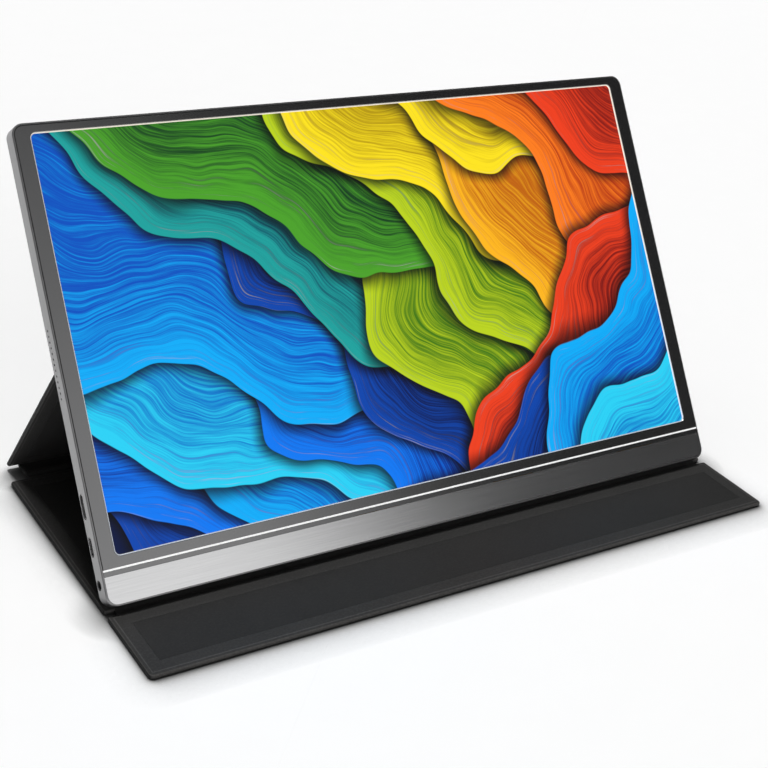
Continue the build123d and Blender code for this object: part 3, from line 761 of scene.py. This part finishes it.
def fold_piece(name, width, axis, first, second, material):
    """A soft fold from one panel to the next: its skins meet in a waist on the fold's axis."""
    rows = []
    turn = first.angle(second)
    for i in range(-FOLD_STEPS, FOLD_STEPS + 1):
        s = FOLD_REACH * i / FOLD_STEPS
        leg = first if s < 0 else second
        reach = abs(s)
        straight = axis + leg * s
        soft = max(0.0, 1 - reach / (2 * FOLD_BEND)) ** 2
        middle = (second - first) * 0.5 * FOLD_BEND * soft * math.sin(turn / 2)
        share = eased(0.5 + 0.5 * max(-1.0, min(1.0, s / FOLD_BEND)))
        direction = (first * (1 - share) + second * share).normalized()
        normal = Vector((0, -direction.z, direction.y))
        waist = eased(min(max((reach - 0.5 * MM) / (2.2 * MM), 0.0), 1.0))
        half = FOLD_WAIST + (PANEL_T / 2 + FOLD_OVER - FOLD_WAIST) * waist
        rows.append((straight + middle, normal, half))
    rounding = ((0.0, 0.25), (0.3, 0.7), (0.7, 0.95), (1.0, 1.0))
    half_w = width / 2
    straight_w = width - 2 * FOLD_END
    columns = [(-half_w + FOLD_END * share, shrink) for share, shrink in rounding]
    for i in range(1, FOLD_LANES):
        columns.append((-half_w + FOLD_END + straight_w * i / FOLD_LANES, 1.0))
    columns += [(half_w - FOLD_END * share, shrink) for share, shrink in reversed(rounding)]
    vertices = []
    ring = 2 * len(rows)
    for x, shrink in columns:
        for centre, normal, half in rows:
            vertices.append(tuple(Vector((x, 0, 0)) + centre + normal * half * shrink))
        for centre, normal, half in reversed(rows):
            vertices.append(tuple(Vector((x, 0, 0)) + centre - normal * half * shrink))
    faces = []
    for c in range(len(columns) - 1):
        for k in range(ring):
            n = (k + 1) % ring
            faces.append((c * ring + k, c * ring + n, (c + 1) * ring + n, (c + 1) * ring + k))
    for c in (0, len(columns) - 1):
        for k in range(len(rows) - 1):
            a = c * ring + k
            b = c * ring + ring - 1 - k
            faces.append((a, a + 1, b - 1, b))
    return mesh_object(name, vertices, faces, Matrix.Identity(4), material)


def window_ring(material):
    """The narrow bevel that runs round the picture, from the glass up the bezel's slope."""
    slope_z = BEZEL_FRONT - BEZEL_BEVEL + RING_LIFT
    profile = [
        (RING_IN, BEZEL_BACK + RING_LIFT),
        (RING_IN, slope_z - RING_IN),
        (-RING_OUT, slope_z + RING_OUT),
        (-RING_OUT, slope_z + RING_OUT - 2 * RING_LIFT),
    ]
    vertices = []
    loops = []
    for inset, z in profile:
        loops.append(len(vertices))
        points = loop_points(VIEW_W, VIEW_H, (VIEW_CORNER, VIEW_CORNER), inset, 24)
        vertices += [(x, y + VIEW_LOW, z) for x, y in points]
    total = loops[1]
    faces = []
    for start, above in zip(loops, loops[1:] + loops[:1]):
        for k in range(total):
            n = (k + 1) % total
            faces.append((start + k, start + n, above + n, above + k))
    return mesh_object("window_ring", vertices, faces, housing_matrix, material)


def gap_shadow_strip(material):
    """A near-black strip in the gap between the frame and the housing's rim, up the sides and along the top:
    painted shade for the gap.
    """
    low = BEZEL_FRONT - GAP_LOW
    high = BEZEL_FRONT + GAP_HIGH
    vertices = []
    for inset, z in ((GAP_IN, low), (GAP_IN, high), (GAP_OUT, high), (GAP_OUT, low)):
        half = BODY_W / 2 - inset
        radius = BODY_CORNER - inset
        path = [(-half, TRIM_TOP)]
        for side, start in ((-1, 180), (1, 90)):
            for i in range(CORNER_STEPS + 1):
                turn = math.radians(start - 90 * i / CORNER_STEPS)
                x = side * (half - radius) + radius * math.cos(turn)
                path.append((x, BODY_H - inset - radius + radius * math.sin(turn)))
        path.append((half, TRIM_TOP))
        vertices += [(x, y, z) for x, y in path]
    count = len(vertices) // 4
    faces = []
    for lane in range(4):
        start = lane * count
        above = (lane + 1) % 4 * count
        for k in range(count - 1):
            faces.append((start + k, start + k + 1, above + k + 1, above + k))
    for k in (0, count - 1):
        faces.append(tuple(lane * count + k for lane in range(4)))
    return mesh_object("gap_shadow_strip", vertices, faces, housing_matrix, material)


# Finishes for the solids, by the slot that the record names

metal = satin_aluminium()
chin = brushed_aluminium()
leather = leathercloth("leathercloth", LEATHER_SHARE)
# A lighter copy of the leathercloth, for the painted highlight along the pressed line and the edge
painted_edge_highlight = leathercloth("painted_edge_highlight", PAINTED_HIGHLIGHT_SHARE)
lining = lining_cloth()
finishes = {
    "housing_metal": metal,
    "button_metal": satin_aluminium("button_aluminium", (0.6, 0.605, 0.61), 0.28),
    "chin_metal": chin,
    "trim_metal": trim_line_painted_glow(),
    "bezel_dark": bezel_finish(),
    "display_glass": ribbon_picture(),
    "light_films": plain_finish("light_films", (0.86, 0.87, 0.88), rough=0.35),
    "clear_plate": plain_finish("clear_plate", (0.86, 0.90, 0.90), rough=0.15),
    "thin_steel": plain_finish("thin_steel", (0.55, 0.55, 0.55), metallic=1.0, rough=0.35),
    "socket_steel": plain_finish("socket_steel", (0.5, 0.5, 0.5), metallic=1.0, rough=0.3),
    "screw_steel": plain_finish("screw_steel", (0.42, 0.42, 0.43), metallic=1.0, rough=0.35),
    "board_green": plain_finish("board_green", (0.02, 0.13, 0.06), rough=0.4),
    "chip_black": plain_finish("chip_black", (0.02, 0.02, 0.02), rough=0.5),
    "led_white": plain_finish("led_white", (0.8, 0.8, 0.74), rough=0.4),
    "film_amber": plain_finish("film_amber", (0.42, 0.19, 0.03), rough=0.3),
    "foam_black": plain_finish("foam_black", (0.025, 0.025, 0.025), rough=0.9),
    "speaker_black": plain_finish("speaker_black", (0.02, 0.02, 0.021), rough=0.55),
    "lamp_clear": plain_finish("lamp_clear", (0.8, 0.86, 0.92), rough=0.2),
    "magnet_metal": plain_finish("magnet_metal", (0.5, 0.5, 0.51), metallic=1.0, rough=0.25),
    "case_leather": leather,
    "case_lining": lining,
    "case_board": plain_finish("case_board", (0.25, 0.22, 0.18), rough=0.85),
}
slot_of = {entry["node"]: entry["material_slot"] for entry in frame["record"]["subparts"]}
for name, node in nodes.items():
    node.data.materials.clear()
    node.data.materials.append(finishes[slot_of[name]])


# The case: a cover and a lining for each panel, and the folds between the panels

FOLD_CORNER = 1.6 * MM
OUTER_CORNER = 2.5 * MM
FLAT_UP = Vector((0, 0, 1))
BACKWARD = Vector((0, 1, 0))


def dress_panel(part, body, depth, radii, origin, along, normal, hem=HEM):
    """Stands a detailed cover and lining in for a case panel."""
    low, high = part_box(part + "_cover")
    width = high.x - low.x
    middle = Vector(((low.x + high.x) / 2, origin.y, origin.z))
    matrix = axes_matrix(middle, along, normal)
    cover = cover_piece(part + "_cover_skin", width, depth, radii, matrix, hem, leather)
    cloth = lining_piece(part + "_lining_cloth", width, depth, matrix, hem, lining)
    for piece, node, slot in ((cover, "_cover", "case_leather"), (cloth, "_lining", "case_lining")):
        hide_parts(part + node)
        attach(piece, body)


def flat_panel(part, radii, hem=HEM):
    """Dresses a panel that lies on the table."""
    low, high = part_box(part + "_cover")
    dress_panel(part, part, high.y - low.y, radii, low, BACKWARD, FLAT_UP, hem)


flat_panel("flap", (OUTER_CORNER, FOLD_CORNER))
flat_panel("base", (FOLD_CORNER, FOLD_CORNER))
flat_panel("spine", (FOLD_CORNER, FOLD_CORNER), SPINE_HEM)
dress_panel(
    "strut",
    "strut",
    (screen_axis - foot_axis).length - 2 * FOLD_TIP,
    (FOLD_CORNER, FOLD_CORNER),
    foot_axis + strut_along * FOLD_TIP - strut_normal * (PANEL_T / 2),
    strut_along,
    strut_normal,
)
dress_panel(
    "back",
    "monitor",
    BODY_H / 2 - FOLD_TIP - BACK_DROP,
    (FOLD_CORNER, OUTER_CORNER),
    screen_axis + face_up * FOLD_TIP - face_normal * (PANEL_T / 2),
    face_up,
    face_normal,
)


def dress_fold(part, axis, first, second):
    """Stands a soft fold in for its plain roll, curved from one panel's direction to the next."""
    low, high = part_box(part)
    fold = fold_piece(part + "_skin", high.x - low.x, axis, first, second, leather)
    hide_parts(part)
    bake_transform(fold)


dress_fold("flap_fold", flap_axis, BACKWARD, BACKWARD)
dress_fold("base_fold", base_axis, BACKWARD, BACKWARD)
dress_fold("foot_fold", foot_axis, BACKWARD, strut_along)
dress_fold("top_fold", screen_axis, strut_along, face_up)

# Trim on the monitor's front

ring = window_ring(window_bevel_painted_glint())
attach(ring, "monitor")
# Painted shade: a near-black strip stands in for the shadow in the frame's gap
gap = gap_shadow_strip(plain_finish("gap_shadow", (0.004, 0.004, 0.004), rough=0.8))
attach(gap, "monitor")


# The stage: a white floor, soft light and the camera

FLOOR_HALF = 30.0
FLOOR_DROP = 0.0002
FLOOR_LOW = (0.985, 0.985, 0.985)
FLOOR_HIGH = (0.990, 0.990, 0.990)
# The painted contact shadow on the floor: its darkest tone, its reach in metres and how sharply it fades
PAINTED_SHADOW_TONE = (0.07, 0.07, 0.07)
CONTACT_REACH = 0.018
CONTACT_POWER = 3.4

# Light from all round: strong at the left and the back, weak at the right and the front
AROUND_STRONG = 0.26
AROUND_WEAK = 0.05
WEAK_WAY = (0.90, -0.35, 0.10)

# The bright area in front: its left and right ends in degrees from straight ahead, how high
# it reaches as a direction's Z, and its strengths below and above
FRONT_LEFT = (-40, -15)
FRONT_RIGHT = (29, 38)
FRONT_Z = (0.46, 0.80)
FRONT_STRENGTH = (1.12, 0.1)

SUN_LEVEL = 2.4
SUN_WIDTH = 12
SUN_AT = (-0.02, 0.2, 2.0)


def floor_finish():
    """Plain white paper with a painted contact shadow, which darkens it close to whatever stands on it, most in
    front.
    """
    material, tree, shader = new_material("floor_white")
    soft = grain(tree, object_point(tree), 40.0, 2.0)
    white = cloudy(tree, soft, FLOOR_LOW, FLOOR_HIGH)
    # Painted shadow: occlusion round a normal that leans back, so the darkening falls in front of things
    leaning = add(tree, "CombineXYZ", X=0.0, Y=0.5, Z=0.87).outputs[0]
    near = add(tree, "AmbientOcclusion", {"samples": 16}, Distance=CONTACT_REACH, Normal=leaning)
    clear = calc(tree, "POWER", near.outputs["AO"], CONTACT_POWER)
    color = blend_color(tree, clear, PAINTED_SHADOW_TONE, white)
    set_shader(tree, shader, Base_Color=color, Roughness=1.0, Specular_IOR_Level=0.0)
    return material


def make_floor():
    """A large plain floor under the case."""
    half = FLOOR_HALF
    mesh = bpy.data.meshes.new("floor")
    corners = [(-half, -half, 0), (half, -half, 0), (half, half, 0), (-half, half, 0)]
    mesh.from_pydata(corners, [], [(0, 1, 2, 3)])
    mesh.materials.append(floor_finish())
    floor = bpy.data.objects.new("floor", mesh)
    floor.location.z = -FLOOR_DROP
    bpy.context.scene.collection.objects.link(floor)


def make_world():
    """Soft light from the left and the back, with a tall bright area in front of the chin."""
    world = bpy.data.worlds.new("studio")
    bpy.context.scene.world = world
    world.use_nodes = True
    tree = world.node_tree
    tree.nodes.clear()
    direction = tree.nodes.new("ShaderNodeTexCoord").outputs["Generated"]
    parts = add(tree, "SeparateXYZ", Vector=direction).outputs
    toward = dot(tree, direction, Vector(WEAK_WAY).normalized())
    around = remap(tree, toward, -0.6, 0.55, AROUND_STRONG, AROUND_WEAK)
    turn = calc(tree, "ARCTAN2", parts[0], calc(tree, "MULTIPLY", parts[1], -1.0))
    right_end = remap(tree, turn, *map(math.radians, FRONT_RIGHT), 1.0, 0.0)
    left_end = remap(tree, turn, *map(math.radians, FRONT_LEFT))
    height = remap(tree, parts[2], *FRONT_Z, *FRONT_STRENGTH, smooth=False)
    panel = calc(tree, "MULTIPLY", calc(tree, "MULTIPLY", right_end, left_end), height)
    strength = calc(tree, "ADD", around, panel)
    background = add(tree, "Background", Color=(1.0, 1.0, 1.0), Strength=strength)
    output = tree.nodes.new("ShaderNodeOutputWorld")
    tree.links.new(background.outputs[0], output.inputs[0])


def aim(lamp, place, target):
    """Puts a lamp somewhere and turns it to a target."""
    lamp.location = place
    lamp.rotation_mode = "QUATERNION"
    lamp.rotation_quaternion = (Vector(target) - Vector(place)).to_track_quat("-Z", "Y")


def make_sun():
    """A wide, even light from above."""
    data = bpy.data.lights.new("sky", "SUN")
    data.energy = SUN_LEVEL
    data.angle = math.radians(SUN_WIDTH)
    lamp = bpy.data.objects.new("sky", data)
    bpy.context.scene.collection.objects.link(lamp)
    aim(lamp, SUN_AT, (0, 0, 0))


def make_camera():
    """The photograph's viewpoint."""
    data = bpy.data.cameras.new("camera")
    data.lens = CAMERA_LENS
    data.sensor_width = 36.0
    data.shift_x, data.shift_y = CAMERA_SHIFT
    data.clip_start = 0.01
    data.clip_end = 100.0
    camera = bpy.data.objects.new("camera", data)
    bpy.context.scene.collection.objects.link(camera)
    look = Vector(CAMERA_LOOK).normalized()
    right = look.cross(Vector(CAMERA_UP)).normalized()
    up = right.cross(look)
    matrix = Matrix((right, up, -look)).transposed().to_4x4()
    matrix.translation = Vector(CAMERA_AT)
    camera.matrix_world = matrix
    bpy.context.scene.camera = camera


make_floor()
make_world()
make_sun()
make_camera()
bpy.context.scene.view_settings.view_transform = "Standard"
